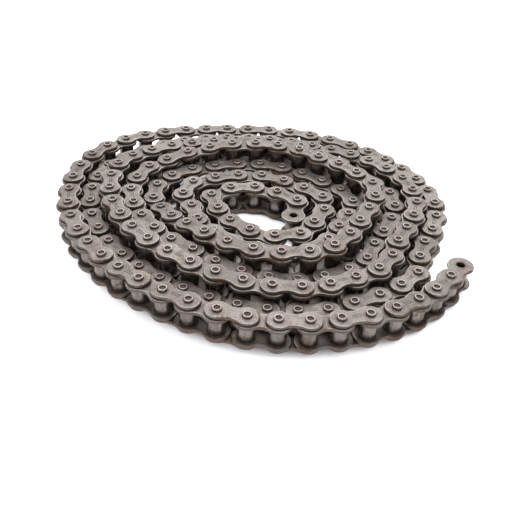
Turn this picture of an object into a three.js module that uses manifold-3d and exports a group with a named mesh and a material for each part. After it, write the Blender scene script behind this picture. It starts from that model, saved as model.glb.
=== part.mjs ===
// A coiled roller chain, lying on its side with its pins upright. Millimetres, +Z up.
// The origin is on the floor, under the middle of the coil's box.
import * as THREE from 'three';
import { mergeVertices } from 'three/addons/utils/BufferGeometryUtils.js';
import Module from 'manifold-3d';

// ---- link sizes: a 25.4 mm pitch industrial roller chain ----
const PITCH = 25.4;
const ROLLER_RADIUS = 7.94;
const INNER_WIDTH = 15.88;         // between the two inner plates
const PLATE_THICKNESS = 3.0;
const INNER_PLATE_HEIGHT = 24.1;
const OUTER_PLATE_HEIGHT = 20.8;
const PLATE_WAIST = 0.68;          // a plate's height halfway between its pins, against its full height
const PIN_RADIUS = 3.97;
const PIN_STAND_OUT = 2.2;         // how far a riveted pin end stands out of its plate
const FIT_GAP = 0.3;               // between an inner plate and the outer plate over it

// ---- coil ----
const PITCH_COUNT = 203;
const RUN_PITCHES = 4;             // pitches of chain in one solid; the last run has five
const RUN_COUNT = Math.floor((PITCH_COUNT - 2) / RUN_PITCHES);
const START_ANGLE = 24.2;          // degrees clockwise from +X to the outer free end
// Distance from the coil's middle to the outermost turn, in pitches, every twelfth of a turn clockwise;
// the first value lies one step before the outer free end.
const OUTLINE_REACH = [
  9.0, 8.7, 8.2, 7.4, 6.7, 6.6, 7.0, 7.4, 7.0, 6.6, 6.8, 7.3, 7.7, 7.1, 7.1, 6.8,
];
const OUTLINE_STEPS_PER_TURN = 12;
const OUTLINE_TURNS = 1.0;         // past this the chain lies against the turn outside it
// A strand either lies on the floor (layer 0) or rides one or two layers up, on its neighbours' lower
// plates. Pairs of [turns wound from the outer free end, layer].
const LAYERS = [
  [0, 0.2], [0.02, 0.2], [0.12, 1], [0.25, 1.4], [0.4, 1], [0.5, 1], [0.65, 0],
  [1.75, 0], [1.88, 1], [2.1, 1.2], [2.3, 2], [2.45, 2], [2.6, 1], [2.75, 1], [2.88, 0],
  [3.1, 0], [3.28, 1], [3.52, 1], [3.65, 2], [4.22, 2], [4.45, 0], [9, 0],
];
const LAYER_RISE = 0.29;           // pitches
const SIDE_BY_SIDE = 0.962;        // pitches between strands at one height: an inner plate's height and a gap
const NESTED = 0.8;                // pitches when one rides on the other: plate edge against rollers
const NEST_FROM = 0.268;           // height difference, in pitches, at which strands start to nest
const NEST_FULL = 0.288;
const OUTWARD_BEND = -0.12;        // radians: the most the chain opens out at one pin
const INWARD_BEND = 1.5;           // the most it closes in
const LINKS_JUST_LAID = 6;         // too close along the chain to be neighbours of the next link
const TOUCHING_REACH = 2.6;        // pitches, past which two links can't touch
const HALVINGS = 40;               // of each search by halving

// ---- facets ----
const FINE_PITCHES = 41;           // runs that start before this show their sides and have finer solids
const ON_FLOOR = 0.01;             // pitches of lift under which pin ends reach the floor

const PLATE_OUTER_FACE = INNER_WIDTH / 2 + 2 * PLATE_THICKNESS + FIT_GAP;
const INNER_PLATE_FACE = INNER_WIDTH / 2 + PLATE_THICKNESS;
const MID_HEIGHT = PLATE_OUTER_FACE + PIN_STAND_OUT;

const wasm = await Module();
wasm.setup();

const steel = (color, roughness) => new THREE.MeshStandardMaterial({ color, roughness, metalness: 0.85 });

// ---------------------------------------------------------------- the coil's route

const clamp = (v, low, high) => Math.min(Math.max(v, low), high);
const smooth = (t) => t * t * (3 - 2 * t);

function outlinePoint(turns) {
  const u = turns * OUTLINE_STEPS_PER_TURN + 1;
  const i = clamp(Math.floor(u), 1, OUTLINE_REACH.length - 3);
  const t = u - i;
  const [a, b, c, d] = OUTLINE_REACH.slice(i - 1, i + 3);
  const reach = b + 0.5 * t * (c - a + t * (2 * a - 5 * b + 4 * c - d + t * (3 * (b - c) + d - a)));
  const angle = -THREE.MathUtils.degToRad(START_ANGLE + 360 * turns);
  return [reach * Math.cos(angle), reach * Math.sin(angle)];
}

function lift(turns) {
  let k = 0;
  while (k < LAYERS.length - 2 && turns >= LAYERS[k + 1][0]) k += 1;
  const [t0, a] = LAYERS[k];
  const [t1, b] = LAYERS[k + 1];
  return LAYER_RISE * (a + (b - a) * smooth(clamp((turns - t0) / (t1 - t0), 0, 1)));
}

function spacing(heightDifference) {
  const t = clamp((heightDifference - NEST_FROM) / (NEST_FULL - NEST_FROM), 0, 1);
  return SIDE_BY_SIDE - (SIDE_BY_SIDE - NESTED) * smooth(t);
}

// How much closer a point may come to the link a-b before they touch, and how far along the link it
// lies. The coil's inside is on the link's right, so a point that has crossed to its left counts as
// negative.
function roomBeside(point, height, a, b, sign) {
  const dx = b.x - a.x;
  const dy = b.y - a.y;
  const t = clamp(((point[0] - a.x) * dx + (point[1] - a.y) * dy) / (dx * dx + dy * dy), 0, 1);
  const ox = point[0] - (a.x + dx * t);
  const oy = point[1] - (a.y + dy * t);
  const inside = sign * (ox * dy - oy * dx) >= 0 ? 1 : -1;
  const difference = Math.abs(a.z + (b.z - a.z) * t - height);
  return { room: inside * Math.hypot(ox, oy) - spacing(difference), t };
}

function roomForPin(pins, last, next) {
  let room = 1;
  for (let i = 0; i < pins.length - LINKS_JUST_LAID; i += 1) {
    const a = pins[i];
    if (Math.max(Math.abs(a.x - last.x), Math.abs(a.y - last.y)) > TOUCHING_REACH) continue;
    room = Math.min(room, roomBeside([next.x, next.y], next.z, a, pins[i + 1], 1).room);
    const beside = roomBeside([a.x, a.y], a.z, last, next, -1);
    if (beside.t > 0.02 && beside.t < 0.98) room = Math.min(room, beside.room);
  }
  return room;
}

// Every pin's place, in pitches, from the outer free end to the inner one. The first turn follows the
// outline. Then each pin is stepped one pitch on and turned inward only as far as it must be to clear
// the turns outside it.
function windChain() {
  const [x0, y0] = outlinePoint(0);
  const pins = [{ x: x0, y: y0, z: lift(0), turns: 0 }];
  for (;;) {
    const last = pins[pins.length - 1];
    let low = last.turns;
    let high = low + 0.08;
    for (let i = 0; i < HALVINGS; i += 1) {
      const turns = (low + high) / 2;
      const [x, y] = outlinePoint(turns);
      const step = Math.hypot(x - last.x, y - last.y, lift(turns) - last.z);
      if (step < 1) low = turns;
      else high = turns;
    }
    if (high > OUTLINE_TURNS) break;
    const [x, y] = outlinePoint(high);
    pins.push({ x, y, z: lift(high), turns: high });
  }
  const before = pins[pins.length - 2];
  const end = pins[pins.length - 1];
  let heading = Math.atan2(end.y - before.y, end.x - before.x);
  while (pins.length <= PITCH_COUNT) {
    const last = pins[pins.length - 1];
    const reach = Math.max(Math.hypot(last.x, last.y), 0.6);
    const z = lift(last.turns + 1 / (2 * Math.PI * reach));
    const run = Math.sqrt(1 - (z - last.z) ** 2);
    const pinAt = (bend) => ({
      x: last.x + run * Math.cos(heading - bend),
      y: last.y + run * Math.sin(heading - bend),
      z,
    });
    let bend = OUTWARD_BEND;
    if (roomForPin(pins, last, pinAt(bend)) < 0) {
      let low = OUTWARD_BEND;
      bend = INWARD_BEND;
      for (let i = 0; i < HALVINGS; i += 1) {
        const middle = (low + bend) / 2;
        if (roomForPin(pins, last, pinAt(middle)) < 0) low = middle;
        else bend = middle;
      }
    }
    const pin = pinAt(bend);
    heading -= bend;
    const swept = Math.atan2(last.y, last.x) - Math.atan2(pin.y, pin.x);
    pin.turns = last.turns + (swept - 2 * Math.PI * Math.round(swept / (2 * Math.PI))) / (2 * Math.PI);
    pins.push(pin);
  }
  return pins;
}

// ---------------------------------------------------------------- solids

function solidFromGeometry(geometry) {
  const bare = geometry.clone();
  bare.deleteAttribute('normal');
  bare.deleteAttribute('uv');
  const merged = mergeVertices(bare, 1e-4);
  return new wasm.Manifold(new wasm.Mesh({
    numProp: 3,
    vertProperties: new Float32Array(merged.attributes.position.array),
    triVerts: new Uint32Array(merged.index.array),
  }));
}

function geometryFromSolid(solid) {
  const mesh = solid.getMesh();
  const geometry = new THREE.BufferGeometry();
  geometry.setAttribute('position', new THREE.BufferAttribute(new Float32Array(mesh.vertProperties), 3));
  geometry.setIndex(new THREE.BufferAttribute(new Uint32Array(mesh.triVerts), 1));
  geometry.computeVertexNormals();
  return geometry;
}

// A band lying flat through stations {x, y, z, nx, ny, bank, half, near, far}, above the pins' middle
// plane or, with side -1, mirrored below it. A station's bank is its rise across the band.
function band(stations, side) {
  const points = [];
  for (const s of stations) {
    const low = Math.min(side * s.near, side * s.far);
    const high = Math.max(side * s.near, side * s.far);
    for (const edge of [s.half, -s.half]) {
      for (const level of [low, high]) {
        points.push(s.x + s.nx * edge, s.y + s.ny * edge, s.z + s.bank * edge + level);
      }
    }
  }
  const faces = [];
  const quad = (a, b, c, d) => faces.push(a, b, c, a, c, d);
  const last = stations.length - 1;
  for (let i = 0; i < last; i += 1) {
    const k = 4 * i;                       // left low, left high, right low, right high
    quad(k + 1, k + 3, k + 7, k + 5);
    quad(k, k + 4, k + 6, k + 2);
    quad(k, k + 1, k + 5, k + 4);
    quad(k + 2, k + 6, k + 7, k + 3);
  }
  quad(0, 2, 3, 1);
  quad(4 * last, 4 * last + 1, 4 * last + 3, 4 * last + 2);
  const geometry = new THREE.BufferGeometry();
  geometry.setAttribute('position', new THREE.Float32BufferAttribute(points, 3));
  geometry.setIndex(faces);
  const solid = solidFromGeometry(geometry);
  geometry.dispose();
  return solid;
}

function post(x, y, low, high, radius, sides, turn) {
  const geometry = new THREE.CylinderGeometry(radius, radius, high - low, sides);
  geometry.rotateX(Math.PI / 2);
  geometry.rotateZ(turn);
  geometry.translate(x, y, (low + high) / 2);
  return solidFromGeometry(geometry);
}

// A link's direction in plan.
function linkDirection(pins, i) {
  const a = pins[i];
  const b = pins[i + 1];
  const flat = Math.hypot(b.x - a.x, b.y - a.y);
  return { x: (b.x - a.x) / flat, y: (b.y - a.y) / flat };
}

// The slope of the strand at a pin that joins two runs: plates of both runs lie in this one plane, so
// the gap between them stays even. The free end links lie level.
function tiltAt(pins, i) {
  if (i === 1 || i === pins.length - 2) return { x: 0, y: 0 };
  const a = pins[i - 1];
  const b = pins[i + 1];
  const flat = Math.hypot(b.x - a.x, b.y - a.y);
  const slope = (b.z - a.z) / flat;
  return { x: slope * (b.x - a.x) / flat, y: slope * (b.y - a.y) / flat };
}

// Stations of a run: a wide lobe at every pin, a narrow waist half way along each link, and an end past
// the first and the last pin, through [along, across] pairs in plate radii. Without `waists`, only the
// run's two end links are waisted. Only the outer plates reach over the first pin, and only one pair of
// plates over the last.
function runStations(pins, first, last, waists, endShape) {
  const endsInner = last % 2 === 1;
  const inner = INNER_WIDTH / 2;
  const lobe = INNER_PLATE_HEIGHT / 2;
  const innerPlate = { near: inner, far: INNER_PLATE_FACE };
  const outerPlate = { near: INNER_PLATE_FACE + FIT_GAP, far: PLATE_OUTER_FACE };
  const both = { near: inner, far: PLATE_OUTER_FACE };
  const stations = [];
  const place = (pin, tilt, direction, along, half, plates) => {
    const dx = direction.x * along;
    const dy = direction.y * along;
    const nx = -direction.y;
    const ny = direction.x;
    const z = pin.z + tilt.x * dx + tilt.y * dy;
    const bank = tilt.x * nx + tilt.y * ny;
    stations.push({ x: pin.x + dx, y: pin.y + dy, z, nx, ny, bank, half, ...plates });
  };

  const startTilt = tiltAt(pins, first);
  const start = linkDirection(pins, first);
  const startRadius = OUTER_PLATE_HEIGHT / 2;
  for (const [along, half] of endShape) {
    place(pins[first], startTilt, start, -along * startRadius, half * startRadius, outerPlate);
  }
  place(pins[first], startTilt, start, PITCH / 2, lobe * PLATE_WAIST, outerPlate);

  const level = { x: 0, y: 0 };
  for (let i = first + 1; i < last; i += 1) {
    const back = linkDirection(pins, i - 1);
    const ahead = linkDirection(pins, i);
    const length = Math.hypot(back.x + ahead.x, back.y + ahead.y);
    const along = { x: (back.x + ahead.x) / length, y: (back.y + ahead.y) / length };
    place(pins[i], level, along, 0, lobe, both);
    if (waists && i < last - 1) {
      const rise = (pins[i + 1].z - pins[i].z) / PITCH;
      const tilt = { x: rise * ahead.x, y: rise * ahead.y };
      place(pins[i], tilt, ahead, PITCH / 2, lobe * PLATE_WAIST, both);
    }
  }

  const endTilt = tiltAt(pins, last);
  const end = linkDirection(pins, last - 1);
  const endRadius = (endsInner ? INNER_PLATE_HEIGHT : OUTER_PLATE_HEIGHT) / 2;
  const endPlates = endsInner ? innerPlate : outerPlate;
  place(pins[last], endTilt, end, -PITCH / 2, lobe * PLATE_WAIST, endPlates);
  for (const [along, half] of endShape.toReversed()) {
    place(pins[last], endTilt, end, along * endRadius, half * endRadius, endPlates);
  }
  return stations;
}

// A run of links joined at their pins. Its first link is an outer link.
function chainRun(pins, first, last) {
  const fine = first < FINE_PITCHES;
  const inner = INNER_WIDTH / 2;
  const endsInner = last % 2 === 1;
  const endShape = fine ? [[0.86, 0.5], [0.3, 0.95]] : [[0.75, 0.66]];
  const above = band(runStations(pins, first, last, true, endShape), 1);
  const below = band(runStations(pins, first, last, fine, endShape), -1);
  let run = above.add(below);
  const lastRoller = endsInner ? last : last - 1;
  for (let i = first + 1; i <= lastRoller; i += 1) {
    const along = linkDirection(pins, i - 1);
    const { x, y, z } = pins[i];
    const turn = Math.atan2(along.y, along.x);
    run = run.add(post(x, y, z - inner - 1, z + inner + 1, ROLLER_RADIUS, fine ? 4 : 3, turn));
  }
  const lastPin = endsInner ? last - 1 : last;
  for (let i = first; i <= lastPin; i += 1) {
    const { x, y, z } = pins[i];
    if (z - MID_HEIGHT > ON_FLOOR * PITCH) continue;
    run = run.add(post(x, y, z - MID_HEIGHT, z - PLATE_OUTER_FACE + 1, PIN_RADIUS, fine ? 4 : 3, 0));
  }
  return run;
}

// A plate's outline: an arc round each pin and a hollow waist between them.
function plateShape(height, boreRadius, boredEnd) {
  const radius = height / 2;
  const waist = radius * PLATE_WAIST;
  const rise = (PITCH / 2) ** 2 + waist ** 2 - radius ** 2;
  const hollow = rise / (2 * (radius - waist));
  const centre = waist + hollow;
  const meet = Math.atan2(centre, PITCH / 2);
  const shape = new THREE.Shape();
  shape.absarc(PITCH, 0, radius, -Math.PI + meet, Math.PI - meet, false);
  shape.absarc(PITCH / 2, centre, hollow, -meet, -Math.PI + meet, true);
  shape.absarc(0, 0, radius, meet, -meet, false);
  shape.absarc(PITCH / 2, -centre, hollow, Math.PI - meet, meet, true);
  const bore = new THREE.Path();
  bore.absarc(boredEnd * PITCH, 0, boreRadius, 0, 2 * Math.PI, true);
  shape.holes.push(bore);
  return shape;
}

// The pieces of a free inner link: two plates and two rollers on their bushings. The free end's bore
// is open from plate to plate.
function freeLink(pins, first, freeEnd, name, metal) {
  const a = pins[first];
  const along = linkDirection(pins, first);
  const link = new THREE.Group();
  link.position.set(a.x, a.y, a.z);
  link.rotation.z = Math.atan2(along.y, along.x);
  const addPiece = (geometry, piece) => {
    const mesh = new THREE.Mesh(geometry, metal.clone());
    mesh.name = `${name}_${piece}`;
    link.add(mesh);
  };
  const inner = INNER_WIDTH / 2;
  const shape = plateShape(INNER_PLATE_HEIGHT, PIN_RADIUS, freeEnd);
  for (const [piece, low] of [['top_plate', inner], ['bottom_plate', -inner - PLATE_THICKNESS]]) {
    const settings = { depth: PLATE_THICKNESS, bevelEnabled: false, curveSegments: 3 };
    const plate = new THREE.ExtrudeGeometry(shape, settings);
    plate.translate(0, 0, low);
    addPiece(plate, piece);
  }
  const half = inner - FIT_GAP;
  const outline = [[PIN_RADIUS, -half], [ROLLER_RADIUS, -half], [ROLLER_RADIUS, half], [PIN_RADIUS, half]];
  const ring = [...outline, outline[0]].map(([r, h]) => new THREE.Vector2(r, h));
  const free = new THREE.LatheGeometry(ring, 10);
  free.rotateX(Math.PI / 2);
  free.translate(freeEnd * PITCH, 0, 0);
  addPiece(free, 'free_roller');
  const held = new THREE.CylinderGeometry(ROLLER_RADIUS, ROLLER_RADIUS, 2 * half, 10);
  held.rotateX(Math.PI / 2);
  held.translate((1 - freeEnd) * PITCH, 0, 0);
  addPiece(held, 'held_roller');
  return link;
}

// ---------------------------------------------------------------- assembly

const route = windChain();
const reachX = route.map((pin) => pin.x * PITCH);
const reachY = route.map((pin) => pin.y * PITCH);
const middleX = (Math.min(...reachX) + Math.max(...reachX)) / 2;
const middleY = (Math.min(...reachY) + Math.max(...reachY)) / 2;
const pins = route.map((pin) => ({
  x: pin.x * PITCH - middleX,
  y: pin.y * PITCH - middleY,
  z: pin.z * PITCH + MID_HEIGHT,
}));

const chain = new THREE.Group();
chain.add(freeLink(pins, 0, 0, 'outer_end', steel(0x9a938c, 0.5)));
for (let number = 1; number <= RUN_COUNT; number += 1) {
  const first = 1 + (number - 1) * RUN_PITCHES;
  const last = number === RUN_COUNT ? PITCH_COUNT - 1 : first + RUN_PITCHES;
  const tone = new THREE.Color(0x8d8780).offsetHSL(0, 0, 0.03 * Math.sin(number * 2.4));
  const mesh = new THREE.Mesh(geometryFromSolid(chainRun(pins, first, last)), steel(tone, 0.52));
  mesh.name = `chain_run_${String(number).padStart(2, '0')}`;
  chain.add(mesh);
}
chain.add(freeLink(pins, PITCH_COUNT - 1, 1, 'inner_end', steel(0x9a938c, 0.5)));

export default chain;
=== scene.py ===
"""Looks for the coiled roller chain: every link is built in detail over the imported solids. Metres."""

import math

import bpy
import numpy as np
from mathutils import Matrix, Vector, geometry


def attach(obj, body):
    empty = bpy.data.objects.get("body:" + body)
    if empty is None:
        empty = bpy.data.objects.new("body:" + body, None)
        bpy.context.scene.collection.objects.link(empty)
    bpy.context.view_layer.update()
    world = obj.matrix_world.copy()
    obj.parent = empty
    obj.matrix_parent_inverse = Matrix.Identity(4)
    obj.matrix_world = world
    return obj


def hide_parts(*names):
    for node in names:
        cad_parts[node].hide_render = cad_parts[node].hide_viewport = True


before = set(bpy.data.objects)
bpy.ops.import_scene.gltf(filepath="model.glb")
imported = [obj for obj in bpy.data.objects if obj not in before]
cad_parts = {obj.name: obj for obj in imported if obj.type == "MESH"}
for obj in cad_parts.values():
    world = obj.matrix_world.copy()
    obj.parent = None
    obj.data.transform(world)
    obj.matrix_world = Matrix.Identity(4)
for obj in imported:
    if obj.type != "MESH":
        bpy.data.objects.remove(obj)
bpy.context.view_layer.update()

# ---- link sizes, in metres: a 25.4 mm pitch industrial roller chain ----
PITCH = 0.0254
ROLLER_RADIUS = 0.00794
BUSHING_RADIUS = 0.00565
PIN_RADIUS = 0.00397
INNER_WIDTH = 0.01588              # between the two inner plates
PLATE_THICKNESS = 0.003
INNER_PLATE_HEIGHT = 0.0241
OUTER_PLATE_HEIGHT = 0.0208
PLATE_WAIST = 0.68                 # a plate's height halfway between its pins, against its full height
PIN_STAND_OUT = 0.0022             # how far a riveted pin end stands out of its plate
FIT_GAP = 0.0003                   # between an inner plate and the outer plate over it
EDGE_ROUND = 0.0006                # rounding of a punched plate's edge
CAP_INSET = 0.0016                 # from a plate's edge to the flat part of its face
BORE_LIP = 0.0003                  # rounding of a bore's mouth
BORE_FIT = 0.0003                  # between an empty bushing's bore and the pin it waits for
BUSHING_SINK = 0.0004              # how far an empty bushing stays under its plate's face
BUSHING_BITE = 0.0015              # how far a closed bushing reaches into its plates
ROLLER_GAP = 0.0003                # between a roller's end and the plate beside it
ROLLER_PLAY = 0.0001               # between a roller and its bushing
ROLLER_EDGE = 0.0006

# ---- stamped strokes on a plate's face ----
MARK_DEPTH = 0.00025
MARK_ROW_STEP = 0.0021
MARKS_PER_ROW = 8
MARK_STEP = 0.00108
MARK_MIDDLE = 3.7                  # the place in a row, from 0, that lies half way between the pins
MARK_HALF_HEIGHT = 0.00055
MARK_HALF_WIDTH = 0.0002
DASH_FROM = 0.00036                # a dash after each stroke, from here
DASH_TO = 0.00078                  # to here
DASH_HALF_HEIGHT = 0.00015

# ---- points round a circle ----
PLATE_STEPS = 18
FREE_PLATE_STEPS = 26
BORE_STEPS = 24
ROLLER_STEPS = 30
BUSHING_STEPS = 16
OPEN_BUSHING_STEPS = 28
PIN_END_STEPS = 24
PIN_END_WAVES = 0.022              # how far a riveted end is from round, against its radius
PIN_END_SHAPES = 3
SHARP_ANGLE = 32                   # degrees between two faces, past which their edge is a crease

# ---- coil, in pitches and turns, as in the solids ----
PITCH_COUNT = 203
START_ANGLE = 24.2                 # degrees clockwise from +X to the outer free end
# From the coil's middle to the outermost turn, every twelfth of a turn clockwise; the first value lies
# one step before the outer free end.
OUTLINE_REACH = [
    9.0, 8.7, 8.2, 7.4, 6.7, 6.6, 7.0, 7.4, 7.0, 6.6, 6.8, 7.3, 7.7, 7.1, 7.1, 6.8,
]
OUTLINE_STEPS_PER_TURN = 12
OUTLINE_TURNS = 1.0                # past this the chain lies against the turn outside it
# A strand lies on the floor (layer 0) or rides one or two layers up, on its neighbours' lower plates:
# (turns wound from the outer free end, layer).
LAYERS = [
    (0, 0.2), (0.02, 0.2), (0.12, 1), (0.25, 1.4), (0.4, 1), (0.5, 1), (0.65, 0),
    (1.75, 0), (1.88, 1), (2.1, 1.2), (2.3, 2), (2.45, 2), (2.6, 1), (2.75, 1), (2.88, 0),
    (3.1, 0), (3.28, 1), (3.52, 1), (3.65, 2), (4.22, 2), (4.45, 0), (9, 0),
]
LAYER_RISE = 0.29                  # pitches
SIDE_BY_SIDE = 0.962               # pitches between strands at one height
NESTED = 0.8                       # pitches when one rides on the other
NEST_FROM = 0.268                  # height difference at which strands start to nest
NEST_FULL = 0.288                  # and at which they are fully nested
OUTWARD_BEND = -0.12               # radians: the most the chain opens out at one pin
INWARD_BEND = 1.5                  # the most it closes in
LINKS_JUST_LAID = 6                # too close along the chain to be neighbours of the next link
TOUCHING_REACH = 2.6               # past which two links can't touch
LINK_ENDS = (0.02, 0.98)           # along a link; past these its two pins' own tests hold
LONGEST_STEP = 0.08                # turns, more than one pitch sweeps on the outline
CORE_REACH = 0.6                   # nearer the middle, a pitch's sweep is reckoned as from here
HALVINGS = 40                      # of each search by halving
RUN_PITCHES = 4                    # the last run has five
RUN_COUNT = (PITCH_COUNT - 2) // RUN_PITCHES

PLATE_OUTER_FACE = INNER_WIDTH / 2 + 2 * PLATE_THICKNESS + FIT_GAP
MID_HEIGHT = PLATE_OUTER_FACE + PIN_STAND_OUT

# ---------------------------------------------------------------- the coil's route


def smooth(t):
    """0 up to t = 0, 1 from t = 1 on, and an even S between."""
    t = min(max(t, 0.0), 1.0)
    return t * t * (3 - 2 * t)


def outline_point(turns):
    """Where the outermost turn runs: a smooth curve through the reaches."""
    u = turns * OUTLINE_STEPS_PER_TURN + 1
    i = min(max(math.floor(u), 1), len(OUTLINE_REACH) - 3)
    t = u - i
    a, b, c, d = OUTLINE_REACH[i - 1:i + 3]
    reach = b + 0.5 * t * (c - a + t * (2 * a - 5 * b + 4 * c - d + t * (3 * (b - c) + d - a)))
    angle = -math.radians(START_ANGLE + 360 * turns)
    return reach * math.cos(angle), reach * math.sin(angle)


def lift(turns):
    """How far a strand is raised off the floor's layer, in pitches."""
    k = 0
    while k < len(LAYERS) - 2 and turns >= LAYERS[k + 1][0]:
        k += 1
    (t0, a), (t1, b) = LAYERS[k:k + 2]
    return LAYER_RISE * (a + (b - a) * smooth((turns - t0) / (t1 - t0)))


def spacing(height_difference):
    """The least distance, seen from above, between strands with this difference in height."""
    t = smooth((height_difference - NEST_FROM) / (NEST_FULL - NEST_FROM))
    return SIDE_BY_SIDE - (SIDE_BY_SIDE - NESTED) * t


def room_beside(x, y, height, a, b, sign):
    """How much closer a point may come to the link a-b, and how far along the link it lies. The coil's
    inside is on the link's right, so a point that has crossed to its left counts as negative."""
    dx = b[0] - a[0]
    dy = b[1] - a[1]
    t = min(max(((x - a[0]) * dx + (y - a[1]) * dy) / (dx * dx + dy * dy), 0.0), 1.0)
    ox = x - (a[0] + dx * t)
    oy = y - (a[1] + dy * t)
    inside = 1 if sign * (ox * dy - oy * dx) >= 0 else -1
    difference = abs(a[2] + (b[2] - a[2]) * t - height)
    return inside * math.hypot(ox, oy) - spacing(difference), t


def room_for_pin(pins, last, new):
    """How much closer the link from `last` to `new` may come to the turns outside it."""
    room = 1.0
    for a, b in zip(pins[:-LINKS_JUST_LAID], pins[1:]):
        if max(abs(a[0] - last[0]), abs(a[1] - last[1])) > TOUCHING_REACH:
            continue
        room = min(room, room_beside(new[0], new[1], new[2], a, b, 1)[0])
        beside, along = room_beside(a[0], a[1], a[2], last, new, -1)
        if LINK_ENDS[0] < along < LINK_ENDS[1]:
            room = min(room, beside)
    return room


def wind_chain():
    """Every pin's (x, y, z) in pitches, from the outer free end to the inner one. The first turn follows
    the outline. Then each pin is stepped one pitch on and turned inward only as far as it must be to
    clear the turns outside it."""
    pins = [(*outline_point(0), lift(0))]
    turns = 0.0
    while True:
        low = turns
        high = low + LONGEST_STEP
        for _ in range(HALVINGS):
            middle = (low + high) / 2
            if math.dist((*outline_point(middle), lift(middle)), pins[-1]) < 1:
                low = middle
            else:
                high = middle
        if high > OUTLINE_TURNS:
            break
        turns = high
        pins.append((*outline_point(turns), lift(turns)))
    heading = math.atan2(pins[-1][1] - pins[-2][1], pins[-1][0] - pins[-2][0])
    while len(pins) <= PITCH_COUNT:
        last = pins[-1]
        z = lift(turns + 1 / (2 * math.pi * max(math.hypot(last[0], last[1]), CORE_REACH)))
        run = math.sqrt(1 - (z - last[2]) ** 2)

        def pin_at(bend):
            return last[0] + run * math.cos(heading - bend), last[1] + run * math.sin(heading - bend), z

        bend = OUTWARD_BEND
        if room_for_pin(pins, last, pin_at(bend)) < 0:
            low = OUTWARD_BEND
            bend = INWARD_BEND
            for _ in range(HALVINGS):
                middle = (low + bend) / 2
                if room_for_pin(pins, last, pin_at(middle)) < 0:
                    low = middle
                else:
                    bend = middle
        pin = pin_at(bend)
        heading -= bend
        swept = math.atan2(last[1], last[0]) - math.atan2(pin[1], pin[0])
        turns += swept / (2 * math.pi) - round(swept / (2 * math.pi))
        pins.append(pin)
    return pins


route = np.array(wind_chain())
middle = (route[:, :2].min(0) + route[:, :2].max(0)) / 2
pins = (route - [middle[0], middle[1], 0]) * PITCH + [0, 0, MID_HEIGHT]

# ---------------------------------------------------------------- mesh building

PLATE, ROLLER, PIN_END, RECESS = range(4)


class Part:
    """Vertices, faces and what the materials need to know: each vertex's rim (1 on a plate's edge) and
    its darkening (1 in a groove): oil and painted shade in stamped strokes, painted shade at a pin's foot
    and in its recess."""

    def __init__(self):
        self.points = []
        self.rims = []
        self.grime_and_shade_values = []
        self.faces = []
        self.materials = []

    def add_ring(self, points, rim=0.0, grime_and_shade=0.0):
        first = len(self.points)
        self.points.extend(points)
        self.rims.extend([rim] * len(points))
        self.grime_and_shade_values.extend([grime_and_shade] * len(points))
        return list(range(first, len(self.points)))

    def bridge(self, low, high, material):
        """Quads between two rings of the same length; seen from outside, `low` runs to the right."""
        count = len(low)
        for i in range(count):
            j = (i + 1) % count
            self.faces.append((low[i], low[j], high[j], high[i]))
            self.materials.append(material)

    def fill(self, outline, holes, material, upward):
        """A flat cap inside the ring `outline`, less the rings in `holes`."""
        rings = [outline, *holes]
        loops = [[Vector(self.points[i][:2] + (0,)) for i in ring] for ring in rings]
        order = [i for ring in rings for i in ring]
        for triangle in geometry.tessellate_polygon(loops):
            a, b, c = (Vector(self.points[order[i]]) for i in triangle)
            corners = [order[i] for i in triangle]
            if ((b - a).cross(c - a).z > 0) != upward:
                corners.reverse()
            self.faces.append(tuple(corners))
            self.materials.append(material)


def plate_outline(height, inset, steps):
    """Points round a plate, moved in by `inset`: an arc round each pin and a hollow waist between."""
    radius = height / 2
    waist = radius * PLATE_WAIST
    hollow = ((PITCH / 2) ** 2 + waist ** 2 - radius ** 2) / (2 * (radius - waist))
    centre = waist + hollow
    meet = math.atan2(centre, PITCH / 2)
    round_end = radius - inset
    scoop = hollow + inset
    arcs = [
        (PITCH, 0, round_end, meet - math.pi, math.pi - meet, steps),
        (PITCH / 2, centre, scoop, -meet, meet - math.pi, steps // 2),
        (0, 0, round_end, meet, 2 * math.pi - meet, steps),
        (PITCH / 2, -centre, scoop, math.pi - meet, meet, steps // 2),
    ]
    points = []
    for x, y, r, start, stop, count in arcs:
        for angle in np.linspace(start, stop, count, endpoint=False):
            points.append((x + r * math.cos(angle), y + r * math.sin(angle)))
    return points


def circle(x, y, z, radius, steps, waves=0.0, turn=0.0):
    """A ring of points; `waves` makes it slightly six-sided."""
    points = []
    for k in range(steps):
        angle = 2 * math.pi * k / steps
        r = radius * (1 + waves * math.cos(6 * (angle - turn)))
        points.append((x + r * math.cos(angle), y + r * math.sin(angle), z))
    return points


def mark_strokes(rows):
    """Rows of short stamped strokes and dashes half way between the pins, each one four corners."""
    strokes = []
    width = MARK_HALF_WIDTH
    for row in range(rows):
        y = (row - (rows - 1) / 2) * MARK_ROW_STEP
        for k in range(MARKS_PER_ROW):
            # the sines only vary a stroke's height, lean and dash from one to the next
            x = PITCH / 2 + (k - MARK_MIDDLE) * MARK_STEP
            half = MARK_HALF_HEIGHT + 0.0001 * math.sin(12.9 * (k + 7 * row) + 3 * rows)
            lean = 0.00012 * math.sin(5.3 * k + row)
            strokes.append([
                (x - lean - width, y - half), (x - lean + width, y - half),
                (x + lean + width, y + half), (x + lean - width, y + half),
            ])
            dash = y + 0.0004 * math.sin(4.1 * k + 2.3 * row + rows)
            strokes.append([
                (x + DASH_FROM, dash - DASH_HALF_HEIGHT), (x + DASH_TO, dash - DASH_HALF_HEIGHT),
                (x + DASH_TO, dash + DASH_HALF_HEIGHT), (x + DASH_FROM, dash + DASH_HALF_HEIGHT),
            ])
    return strokes


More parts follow.
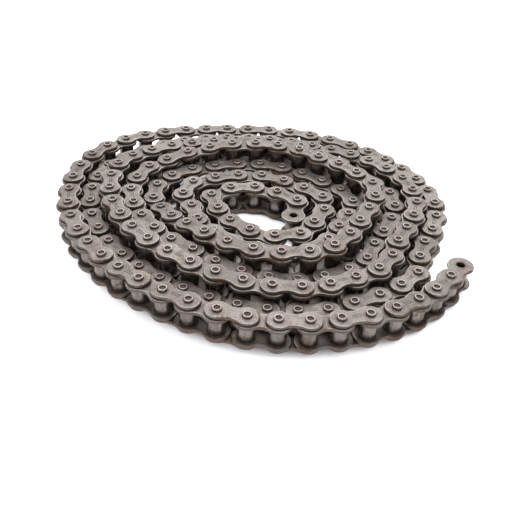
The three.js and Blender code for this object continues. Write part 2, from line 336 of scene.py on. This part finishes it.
def link_plate(height, steps, bores=(), mark_rows=0):
    """A plate lying on z = 0 with rounded edges, a marked top face, and bores at the pins in `bores`."""
    part = Part()
    e = EDGE_ROUND
    t = PLATE_THICKNESS
    levels = [                     # (inset, z, rim)
        (e, 0, 0.4), (0.3 * e, 0.3 * e, 0.6), (0, e, 1),
        (0, t - e, 1), (0.3 * e, t - 0.3 * e, 0.6), (e, t, 0.4),
    ]
    rings = []
    for inset, z, rim in levels:
        outline = plate_outline(height, inset, steps)
        rings.append(part.add_ring([(x, y, z) for x, y in outline], rim))
    for low, high in zip(rings, rings[1:]):
        part.bridge(low, high, PLATE)
    cap_rings = []
    for z in (0, t):
        outline = plate_outline(height, CAP_INSET, steps)
        cap_rings.append(part.add_ring([(x, y, z) for x, y in outline]))
    part.bridge(cap_rings[0], rings[0], PLATE)
    part.bridge(rings[-1], cap_rings[1], PLATE)
    bottoms = []
    tops = []
    for x in bores:
        lip = BORE_LIP
        wall = [(PIN_RADIUS + lip, 0), (PIN_RADIUS, lip), (PIN_RADIUS, t - lip), (PIN_RADIUS + lip, t)]
        walls = [part.add_ring(circle(x * PITCH, 0, z, r, BORE_STEPS)) for r, z in wall]
        for low, high in zip(walls, walls[1:]):
            part.bridge(high, low, PLATE)
        bottoms.append(walls[0])
        tops.append(walls[-1])
    for stroke in mark_strokes(mark_rows):
        rim = part.add_ring([(x, y, t) for x, y in stroke])
        # a stroke's bed is darkened: oil and painted shade in the groove
        bed = part.add_ring([(x, y, t - MARK_DEPTH) for x, y in stroke], 0, 1)
        part.bridge(rim, bed, PLATE)
        part.faces.append(tuple(bed))
        part.materials.append(PLATE)
        tops.append(rim)
    part.fill(cap_rings[0], bottoms, PLATE, upward=False)
    part.fill(cap_rings[1], tops, PLATE, upward=True)
    return part


def turned(profile, steps, waves=0.0, turn=0.0):
    """A closed turned solid from (radius, z, material, darkening by oil and painted shade) rows; the
    first and last rows close it.
    """
    part = Part()
    rings = []
    for radius, z, _, grime_and_shade in profile:
        rings.append(part.add_ring(circle(0, 0, z, radius, steps, waves, turn), 0, grime_and_shade))
    for (low, high), row in zip(zip(rings, rings[1:]), profile):
        part.bridge(low, high, row[2])
    part.fill(rings[0], [], profile[0][2], upward=False)
    part.fill(rings[-1], [], profile[-1][2], upward=True)
    return part


def tube(outer, inner, low, high, edge, steps, material):
    """A closed ring-shaped solid with bevelled edges, such as a roller."""
    part = Part()
    walls = [
        (inner, high), (inner, low), (outer - edge, low), (outer - 0.3 * edge, low + 0.3 * edge),
        (outer, low + edge), (outer, high - edge), (outer - 0.3 * edge, high - 0.3 * edge),
        (outer - edge, high),
    ]
    rings = [part.add_ring(circle(0, 0, z, r, steps)) for r, z in walls]
    for a, b in zip(rings, [*rings[1:], rings[0]]):
        part.bridge(a, b, material)
    return part


def pin_end(turn):
    """The riveted end of a pin, standing on z = 0: a rounded bright ring round a dark drilled recess."""
    r = PIN_RADIUS
    top = PIN_STAND_OUT
    profile = [                    # (radius, z, material, darkening by oil and painted shade), from the plate up and into the recess
        # the two lowest rows are darkened: painted shade at the pin's foot
        (r, -0.0008, PIN_END, 1), (0.98 * r, 0.0002, PIN_END, 1),
        (1.02 * r, 0.0006, PIN_END, 0.45), (1.06 * r, 0.0012, PIN_END, 0),
        (1.03 * r, top - 0.0005, PIN_END, 0), (0.96 * r, top - 0.0001, PIN_END, 0),
        (0.88 * r, top, PIN_END, 0), (0.76 * r, top - 0.0001, PIN_END, 0),
        # the recess rows darken most at its inner corner: painted shade
        (0.69 * r, top - 0.0004, RECESS, 0.3), (0.65 * r, top - 0.0011, RECESS, 0.9),
        (0.2 * r, top - 0.0013, RECESS, 0.1),
    ]
    return turned(profile, PIN_END_STEPS, PIN_END_WAVES, turn)


def noise_of(number):
    """A repeatable value from 0 to 1. The factors its callers use only keep their values apart."""
    return math.modf(abs(math.sin(number * 12.9898 + 4.1) * 43758.5453))[0]


class Build:
    """Collects placed parts into one mesh object. Each vertex keeps its place in its own part, and the
    tone of that part, for the materials."""

    def __init__(self):
        self.points = []
        self.places = []
        self.rims = []
        self.grime_and_shade_values = []
        self.tones = []
        self.faces = []
        self.materials = []
        self.count = 0

    def add(self, part, matrix, tone):
        local = np.array(part.points)
        m = np.array(matrix)
        self.points.append(local @ m[:3, :3].T + m[:3, 3])
        self.places.append(local)
        self.rims.extend(part.rims)
        self.grime_and_shade_values.extend(part.grime_and_shade_values)
        self.tones.extend([tone] * len(local))
        self.faces.extend([tuple(i + self.count for i in face) for face in part.faces])
        self.materials.extend(part.materials)
        self.count += len(local)

    def finish(self, name, materials):
        mesh = bpy.data.meshes.new(name)
        mesh.from_pydata(np.concatenate(self.points).tolist(), [], self.faces)
        for material in materials:
            mesh.materials.append(material)
        mesh.polygons.foreach_set("material_index", self.materials)
        for label, values in (("rim", self.rims), ("grime_and_shade", self.grime_and_shade_values), ("tone", self.tones)):
            mesh.attributes.new(label, "FLOAT", "POINT").data.foreach_set("value", values)
        place = mesh.attributes.new("place", "FLOAT_VECTOR", "POINT")
        place.data.foreach_set("vector", np.concatenate(self.places).astype(np.float32).ravel())
        mesh.polygons.foreach_set("use_smooth", [True] * len(mesh.polygons))
        mesh.set_sharp_from_angle(angle=math.radians(SHARP_ANGLE))
        mesh.update()
        piece = bpy.data.objects.new(name, mesh)
        bpy.context.scene.collection.objects.link(piece)
        return piece


def link_matrix(i):
    """The frame of link i: X along it, Y level across it, origin at its first pin, half way up."""
    along = Vector(pins[i + 1] - pins[i]).normalized()
    across = Vector((0, 0, 1)).cross(along).normalized()
    up = along.cross(across)
    rows = Matrix((along, across, up)).transposed().to_4x4()
    return Matrix.Translation(Vector(pins[i])) @ rows


FLIP = Matrix.Diagonal((1, -1, -1, 1))  # turned over, about the link's length
FULL_TURN = 6.28                   # radians: parts are set at any turn round their pin
MARK_ROWS = (0, 2, 2, 2)           # about one outer plate in four is plain

inner_plate = link_plate(INNER_PLATE_HEIGHT, PLATE_STEPS)
free_plates = [link_plate(INNER_PLATE_HEIGHT, FREE_PLATE_STEPS, (k,)) for k in (0, 1)]
outer_plates = [link_plate(OUTER_PLATE_HEIGHT, PLATE_STEPS, (), rows) for rows in MARK_ROWS]
roller_half = INNER_WIDTH / 2 - ROLLER_GAP
roller = tube(ROLLER_RADIUS, BUSHING_RADIUS + ROLLER_PLAY, -roller_half, roller_half, ROLLER_EDGE,
              ROLLER_STEPS, ROLLER)
bushing_half = INNER_WIDTH / 2 + BUSHING_BITE
bushing = turned([(BUSHING_RADIUS, -bushing_half, ROLLER, 1), (BUSHING_RADIUS, bushing_half, ROLLER, 1)],
                 BUSHING_STEPS)
open_half = INNER_WIDTH / 2 + PLATE_THICKNESS - BUSHING_SINK
open_bushing = tube(BUSHING_RADIUS, PIN_RADIUS + BORE_FIT, -open_half, open_half, BORE_LIP,
                    OPEN_BUSHING_STEPS, ROLLER)
pin_ends = [pin_end(0.35 * k) for k in range(PIN_END_SHAPES)]


def add_pair(build, plate, matrix, near, tone):
    """A plate above and the same one turned over below, their near faces `near` from the middle."""
    build.add(plate, matrix @ Matrix.Translation((0, 0, near)), tone)
    flipped = matrix @ FLIP
    build.add(plate, flipped @ Matrix.Translation((0, 0, near)), noise_of(tone * 97))


def add_inner_link(build, i, plate=inner_plate, open_end=None):
    """Two plates, two bushings and two rollers; `open_end` is the end, 0 or 1, whose bushing is empty."""
    matrix = link_matrix(i)
    add_pair(build, plate, matrix, INNER_WIDTH / 2, noise_of(i))
    for end in (0, 1):
        place = matrix @ Matrix.Translation((end * PITCH, 0, 0))
        turn = Matrix.Rotation(FULL_TURN * noise_of(i + 0.37 * end), 4, "Z")
        build.add(roller, place @ turn, noise_of(3 * i + end))
        build.add(open_bushing if end == open_end else bushing, place, 0.5)


def add_outer_link(build, i):
    """Two plates, and the two ends of each of their two pins."""
    matrix = link_matrix(i)
    near = PLATE_OUTER_FACE - PLATE_THICKNESS
    plate = outer_plates[math.floor(len(outer_plates) * noise_of(5 * i))]
    add_pair(build, plate, matrix, near, noise_of(i))
    for end in (0, 1):
        place = matrix @ Matrix.Translation((end * PITCH, 0, 0))
        for side, seed in ((Matrix.Identity(4), 7), (FLIP, 11)):
            rivet = pin_ends[math.floor(len(pin_ends) * noise_of(seed * i + end))]
            turn = Matrix.Rotation(FULL_TURN * noise_of(seed * i + 2 * end), 4, "Z")
            lifted = Matrix.Translation((0, 0, PLATE_OUTER_FACE))
            build.add(rivet, place @ side @ lifted @ turn, noise_of(seed + 13 * i + end))


# ---------------------------------------------------------------- materials


class Nodes:
    """Short calls for a material's node tree."""

    def __init__(self, name):
        self.material = bpy.data.materials.new(name)
        self.material.use_nodes = True
        self.tree = self.material.node_tree
        self.shader = self.tree.nodes["Principled BSDF"]
        self.coords = self.tree.nodes.new("ShaderNodeTexCoord").outputs["Object"]

    def put(self, socket, value):
        if isinstance(value, bpy.types.NodeSocket):
            self.tree.links.new(value, socket)
        else:
            socket.default_value = value

    def math(self, operation, a, b=0.0, clamp=False):
        node = self.tree.nodes.new("ShaderNodeMath")
        node.operation = operation
        node.use_clamp = clamp
        self.put(node.inputs[0], a)
        self.put(node.inputs[1], b)
        return node.outputs[0]

    def noise(self, scale, detail=3.0, roughness=0.55, stretch=(1, 1, 1), offset=0.0, coords=None):
        mapping = self.tree.nodes.new("ShaderNodeMapping")
        mapping.inputs["Scale"].default_value = stretch
        mapping.inputs["Location"].default_value = (offset, offset * 0.7, offset * 0.3)
        self.put(mapping.inputs["Vector"], coords or self.coords)
        node = self.tree.nodes.new("ShaderNodeTexNoise")
        node.inputs["Scale"].default_value = scale
        node.inputs["Detail"].default_value = detail
        node.inputs["Roughness"].default_value = roughness
        self.put(node.inputs["Vector"], mapping.outputs[0])
        return node.outputs["Fac"]

    def openness(self, distance):
        """1 where a surface is open, falling to 0 where others stand close round it."""
        node = self.tree.nodes.new("ShaderNodeAmbientOcclusion")
        node.inputs["Distance"].default_value = distance
        return node.outputs["AO"]

    def attribute(self, name, output="Fac"):
        node = self.tree.nodes.new("ShaderNodeAttribute")
        node.attribute_name = name
        return node.outputs[output]

    def ramp(self, value, low, high, to_low=0.0, to_high=1.0):
        node = self.tree.nodes.new("ShaderNodeMapRange")
        node.interpolation_type = "SMOOTHSTEP"
        self.put(node.inputs["Value"], value)
        node.inputs["From Min"].default_value = low
        node.inputs["From Max"].default_value = high
        node.inputs["To Min"].default_value = to_low
        node.inputs["To Max"].default_value = to_high
        return node.outputs["Result"]

    def mix(self, factor, a, b):
        node = self.tree.nodes.new("ShaderNodeMix")
        node.data_type = "RGBA"
        self.put(node.inputs["Factor"], factor)
        for socket, value in ((node.inputs[6], a), (node.inputs[7], b)):
            self.put(socket, value if isinstance(value, bpy.types.NodeSocket) else (*value, 1))
        return node.outputs[2]

    def bump(self, height, distance, strength=1.0):
        node = self.tree.nodes.new("ShaderNodeBump")
        node.inputs["Strength"].default_value = strength
        node.inputs["Distance"].default_value = distance
        self.put(node.inputs["Height"], height)
        self.put(self.shader.inputs["Normal"], node.outputs["Normal"])

    def finish(self, colour, roughness, metallic):
        self.put(self.shader.inputs["Base Color"], colour)
        self.put(self.shader.inputs["Roughness"], roughness)
        self.put(self.shader.inputs["Metallic"], metallic)
        return self.material


STEEL_LIGHT = (0.27, 0.24, 0.226)
STEEL_MID = (0.175, 0.153, 0.142)
STEEL_DARK = (0.06, 0.05, 0.045)
OCHRE = (0.15, 0.098, 0.054)
ORANGE_RUST = (0.2, 0.096, 0.044)
DARK_RUST = (0.06, 0.028, 0.018)
# oil on bushings and in grooves, and painted shade at pin feet, in recesses and in stamped strokes
OIL_AND_SHADE = (0.015, 0.012, 0.01)
# dirt and painted shade in crevices, where other surfaces stand close
CREVICE_DIRT_AND_SHADE = (0.05, 0.035, 0.025)
# painted highlight on the worn plate corners; painted shade on the plate sides
CORNER_WEAR_AND_HIGHLIGHT = (0.47, 0.425, 0.395)
PAINTED_SIDE_SHADE = (0.055, 0.045, 0.038)
BROWN_HAZE = (0.1, 0.068, 0.048)
ROLLER_GREY = (0.13, 0.11, 0.096)
ROLLER_STREAK = (0.11, 0.082, 0.062)
PIN_BRIGHT = (0.44, 0.4, 0.37)
PIN_DULL = (0.2, 0.174, 0.158)
PIN_RUST = (0.2, 0.1, 0.055)
RECESS_REDS = ((0.05, 0.024, 0.02), (0.15, 0.074, 0.06))
RECESS_GREYS = ((0.045, 0.032, 0.029), (0.13, 0.092, 0.083))
FLOOR_PALE = (0.9, 0.9, 0.905)
FLOOR_SHADE = (0.1, 0.09, 0.085)
FLOOR_GLOW = (0.97, 0.96, 1.0)
GLOW_STRENGTH = 0.68

# How near other surfaces have to stand to count as closing a place in, in metres
PLATE_CREVICE = 0.012
ROLLER_CREVICE = 0.01
FLOOR_CREVICE = 0.03


def steel_colour(n, fine):
    """Warm grey steel, cloudy and mottled, a little lighter or darker from piece to piece."""
    cloud = n.noise(55, 4)
    tone = n.attribute("tone")
    shade = n.math("ADD", n.math("MULTIPLY", cloud, 0.75), n.math("MULTIPLY", tone, 0.4))
    colour = n.mix(n.ramp(shade, 0.34, 0.82), STEEL_MID, STEEL_LIGHT)
    return n.mix(n.ramp(fine, 0.44, 0.68, 0, 0.6), colour, STEEL_DARK)


def near_pin(n):
    """From 1 against a pin to 0 at half a pin's width off it, in a plate's own place."""
    split = n.tree.nodes.new("ShaderNodeSeparateXYZ")
    n.put(split.inputs[0], n.attribute("place", "Vector"))
    x, y, _ = split.outputs
    fold = n.math("SUBTRACT", n.math("ABSOLUTE", n.math("SUBTRACT", x, PITCH / 2)), PITCH / 2)
    square = n.math("ADD", n.math("MULTIPLY", fold, fold), n.math("MULTIPLY", y, y))
    return n.ramp(n.math("SQRT", square), PIN_RADIUS, 2 * PIN_RADIUS, 1, 0)


def plate_material():
    """Worn grey steel with worn corners under a painted highlight, painted shade on the plates' sides,
    dirt and painted shade in crevices, and film, rust and haze in patches.
    """
    n = Nodes("plate_steel")
    fine = n.noise(850, 4, 0.7)
    colour = steel_colour(n, fine)
    rim = n.attribute("rim")
    patch = n.noise(58, 5, 0.66, offset=3.1)
    speckle = n.noise(420, 4, 0.7, offset=5.7)
    # a bright corner round each plate, worn steel with a painted highlight, and painted shade on the
    # plate's side under it
    corner = n.math("MULTIPLY", n.ramp(rim, 0.14, 0.34), n.ramp(rim, 0.72, 0.5), clamp=True)
    colour = n.mix(n.math("MULTIPLY", corner, 0.6), colour, CORNER_WEAR_AND_HIGHLIGHT)
    side = n.ramp(rim, 0.55, 0.85)
    colour = n.mix(n.math("MULTIPLY", side, 0.8), colour, PAINTED_SIDE_SHADE)
    # brown film and ochre rust in patches along the edges, where oil and water held
    edge = n.ramp(rim, 0.02, 0.5)
    film = n.math("MULTIPLY", edge, n.ramp(patch, 0.47, 0.6), clamp=True)
    film = n.math("MULTIPLY", film, n.ramp(speckle, 0.38, 0.56), clamp=True)
    colour = n.mix(n.math("MULTIPLY", film, 0.8), colour, OCHRE)
    region = n.ramp(n.noise(17, 2, offset=7.7), 0.4, 0.62, 0, 0.075)
    rust_spread = n.math("ADD", n.math("MULTIPLY", edge, 0.12), n.math("MULTIPLY", patch, 0.7))
    rust_spread = n.math("ADD", rust_spread, region)
    rust_edge = n.math("ADD", rust_spread, n.math("MULTIPLY", speckle, 0.42))
    rust = n.ramp(rust_edge, 0.72, 0.82)
    rust_colour = n.mix(n.ramp(speckle, 0.46, 0.64), DARK_RUST, ORANGE_RUST)
    colour = n.mix(n.math("MULTIPLY", rust, 0.85), colour, rust_colour)
    # brown haze on the faces, heavier round the pins
    haze_cloud = n.noise(90, 5, 0.7, offset=9.4)
    stain = n.math("ADD", haze_cloud, n.math("MULTIPLY", near_pin(n), 0.16))
    colour = n.mix(n.ramp(stain, 0.49, 0.7, 0, 0.65), colour, BROWN_HAZE)
    # dirt and painted shade where other links stand close, oil and painted shade in the stamped strokes
    grime_and_shade = n.attribute("grime_and_shade")
    colour = n.mix(n.ramp(n.openness(PLATE_CREVICE), 0.35, 0.85, 0.7, 0), colour, CREVICE_DIRT_AND_SHADE)
    colour = n.mix(n.math("MULTIPLY", grime_and_shade, 0.9), colour, OIL_AND_SHADE)
    sheen = n.ramp(fine, 0.3, 0.7, 0.38, 0.5)
    roughness = n.math("ADD", sheen, n.math("MULTIPLY", rust, 0.3), clamp=True)
    metallic = n.math("SUBTRACT", 0.72, n.math("MULTIPLY", n.math("ADD", rust, grime_and_shade, clamp=True), 0.6))
    metallic = n.math("MULTIPLY", metallic, n.math("SUBTRACT", 1.0, n.math("MULTIPLY", side, 0.75)))
    pits = n.noise(900, 4, 0.7, offset=1.3)
    n.bump(n.math("ADD", pits, n.math("MULTIPLY", rust, 0.8)), 0.00007, 0.8)
    return n.finish(colour, roughness, metallic)


def roller_material():
    """Darker, smoother steel, streaked round each roller."""
    n = Nodes("roller_steel")
    fine = n.noise(900, 3, 0.65)
    colour = n.mix(0.3, steel_colour(n, fine), ROLLER_GREY)
    streak = n.noise(330, 4, 0.6, stretch=(1, 1, 0.16), offset=2.2)
    colour = n.mix(n.ramp(streak, 0.45, 0.68, 0, 0.6), colour, ROLLER_STREAK)
    patch = n.noise(120, 5, 0.68, offset=6.5)
    rust = n.ramp(patch, 0.56, 0.65)
    rust_colour = n.mix(n.ramp(n.noise(600, 3), 0.4, 0.65), DARK_RUST, ORANGE_RUST)
    colour = n.mix(n.math("MULTIPLY", rust, 0.75), colour, rust_colour)
    # dirt and painted shade where other links stand close, oil on the bushings
    grime_and_shade = n.attribute("grime_and_shade")
    colour = n.mix(n.ramp(n.openness(ROLLER_CREVICE), 0.2, 0.7, 0.6, 0), colour, CREVICE_DIRT_AND_SHADE)
    colour = n.mix(n.math("MULTIPLY", grime_and_shade, 0.9), colour, OIL_AND_SHADE)
    sheen = n.ramp(streak, 0.3, 0.7, 0.24, 0.36)
    roughness = n.math("ADD", sheen, n.math("MULTIPLY", rust, 0.35), clamp=True)
    metallic = n.math("SUBTRACT", 0.92, n.math("MULTIPLY", n.math("ADD", rust, grime_and_shade, clamp=True), 0.75))
    n.bump(n.math("ADD", n.noise(700, 4, 0.7), rust), 0.00005, 0.6)
    return n.finish(colour, roughness, metallic)


def pin_end_material():
    """The bright riveted rings, spotted with rust."""
    n = Nodes("pin_end_steel")
    fine = n.noise(1500, 3, 0.6)
    tone = n.attribute("tone")
    colour = n.mix(n.ramp(fine, 0.35, 0.7), PIN_BRIGHT, PIN_DULL)
    spots = n.math("ADD", n.math("MULTIPLY", n.noise(450, 4, 0.7, offset=4.4), 0.8),
                   n.math("MULTIPLY", tone, 0.2))
    rust = n.ramp(spots, 0.58, 0.7)
    colour = n.mix(n.math("MULTIPLY", rust, 0.7), colour, PIN_RUST)
    # darkened where the rows say: painted shade at the pin's foot
    grime_and_shade = n.attribute("grime_and_shade")
    colour = n.mix(grime_and_shade, colour, OIL_AND_SHADE)
    sheen = n.ramp(fine, 0.3, 0.7, 0.26, 0.4)
    roughness = n.math("ADD", sheen, n.math("MULTIPLY", rust, 0.3), clamp=True)
    metallic = n.math("SUBTRACT", 0.95, n.math("MULTIPLY", n.math("ADD", rust, grime_and_shade, clamp=True), 0.8))
    n.bump(fine, 0.00004, 0.6)
    return n.finish(colour, roughness, metallic)


def recess_material():
    """Dull rust in the drilled pin ends, redder in some than in others."""
    n = Nodes("pin_recess_rust")
    grains = n.noise(1300, 4, 0.7)
    tone = n.attribute("tone")
    red = n.mix(n.ramp(grains, 0.35, 0.65), *RECESS_REDS)
    grey = n.mix(n.ramp(grains, 0.35, 0.65), *RECESS_GREYS)
    colour = n.mix(n.ramp(tone, 0.1, 0.7), grey, red)
    # painted shade deeper in the recess
    colour = n.mix(n.math("MULTIPLY", n.attribute("grime_and_shade"), 0.35), colour, OIL_AND_SHADE)
    n.bump(grains, 0.0001, 0.8)
    return n.finish(colour, n.ramp(grains, 0.3, 0.7, 0.5, 0.8), 0.3)


materials = [plate_material(), roller_material(), pin_end_material(), recess_material()]

# ---------------------------------------------------------------- the chain's pieces


def add_run(number, first, last):
    """Links `first` up to but not including `last`, over one chain run; odd links are outer ones."""
    build = Build()
    for i in range(first, last):
        if i % 2:
            add_outer_link(build, i)
        else:
            add_inner_link(build, i)
    piece = build.finish(f"links_{number:02d}", materials)
    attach(piece, "root")
    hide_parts(f"chain_run_{number:02d}")


def add_free_link(name, i, open_end):
    """The inner link at one end of the chain, with the bushing at its free pin empty."""
    build = Build()
    add_inner_link(build, i, free_plates[open_end], open_end)
    piece = build.finish(f"{name}_link", materials)
    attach(piece, "root")
    solids = ("top_plate", "bottom_plate", "free_roller", "held_roller")
    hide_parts(*[f"{name}_{solid}" for solid in solids])


add_free_link("outer_end", 0, 0)
for number in range(1, RUN_COUNT + 1):
    first = 1 + (number - 1) * RUN_PITCHES
    add_run(number, first, PITCH_COUNT - 1 if number == RUN_COUNT else first + RUN_PITCHES)
add_free_link("inner_end", PITCH_COUNT - 1, 1)

# ---------------------------------------------------------------- floor, lights and camera

FLOOR_HALF_WIDTH = 6.0
WORLD_STRENGTH = 0.4
LIGHTS = [                         # (name, place, width, height, watts), all aimed at the coil
    ("top_light", (0.0, 0.5, 1.4), 1.6, 1.2, 16),
    ("back_light", (0.1, 1.8, 1.1), 2.2, 0.8, 17),
    ("front_light", (0.0, -1.9, 1.3), 2.2, 0.8, 7),
    ("key_light", (1.0, -0.9, 1.25), 0.6, 0.6, 4),
    ("left_light", (-1.3, -0.7, 0.7), 0.7, 0.9, 5),
]
CAMERA_ELEVATION = 36.28           # degrees above the floor
CAMERA_ROLL = 2.626                # degrees
CAMERA_DISTANCE = 24.638           # pitches
AIM_FROM_START = (0.9387, -3.7548)  # pitches, from the middle that the outline's reaches start from
LENS = 48.624                      # millimetres, on a sensor 36 wide
SENSOR_WIDTH = 36


def make_floor():
    """A pale floor with a glow, painted light as if lit from below, which keeps its shadows light. Glow
    and paleness fade where the chain stands close round the floor: painted shade in the gaps round and
    under it."""
    mesh = bpy.data.meshes.new("floor")
    half = FLOOR_HALF_WIDTH
    corners = [(-half, -half, 0), (half, -half, 0), (half, half, 0), (-half, half, 0)]
    mesh.from_pydata(corners, [], [(0, 1, 2, 3)])
    floor = bpy.data.objects.new("floor", mesh)
    bpy.context.scene.collection.objects.link(floor)
    n = Nodes("pale_floor")
    n.shader.inputs["Roughness"].default_value = 0.75
    n.shader.inputs["Emission Color"].default_value = (*FLOOR_GLOW, 1)
    # painted shade: less glow and a darker floor where the chain closes round it
    clear = n.ramp(n.openness(FLOOR_CREVICE), 0.1, 0.4)
    n.put(n.shader.inputs["Emission Strength"], n.math("MULTIPLY", clear, GLOW_STRENGTH))
    n.put(n.shader.inputs["Base Color"], n.mix(clear, FLOOR_SHADE, FLOOR_PALE))
    mesh.materials.append(n.material)


def add_light(name, place, width, height, watts):
    light = bpy.data.lights.new(name, "AREA")
    light.shape = "RECTANGLE"
    light.size = width
    light.size_y = height
    light.energy = watts
    lamp = bpy.data.objects.new(name, light)
    lamp.location = place
    lamp.rotation_euler = (-Vector(place)).to_track_quat("-Z", "Y").to_euler()
    bpy.context.scene.collection.objects.link(lamp)


def make_lights():
    world = bpy.data.worlds.new("studio")
    world.use_nodes = True
    background = world.node_tree.nodes["Background"]
    background.inputs["Color"].default_value = (1.0, 1.0, 1.0, 1)
    background.inputs["Strength"].default_value = WORLD_STRENGTH
    bpy.context.scene.world = world
    bpy.context.scene.view_settings.view_transform = "Standard"
    for light in LIGHTS:
        add_light(*light)


def make_camera():
    """Looks down at the coil from in front."""
    elevation = math.radians(CAMERA_ELEVATION)
    roll = Matrix.Rotation(math.radians(CAMERA_ROLL), 4, "Z")
    start = Vector((-middle[0] * PITCH, -middle[1] * PITCH, 2 * MID_HEIGHT))
    aim = start + Vector((*AIM_FROM_START, 0)) * PITCH
    away = Vector((0, -math.cos(elevation), math.sin(elevation))) * CAMERA_DISTANCE * PITCH
    camera = bpy.data.objects.new("camera", bpy.data.cameras.new("camera"))
    camera.location = aim + away
    facing = (-away).to_track_quat("-Z", "Y").to_matrix().to_4x4() @ roll
    camera.rotation_euler = facing.to_euler()
    camera.data.lens = LENS
    camera.data.sensor_width = SENSOR_WIDTH
    camera.data.shift_x = -0.0242
    camera.data.shift_y = 0.001
    camera.data.clip_start = 0.01
    camera.data.clip_end = 50
    bpy.context.scene.collection.objects.link(camera)
    bpy.context.scene.camera = camera


make_floor()
make_lights()
make_camera()
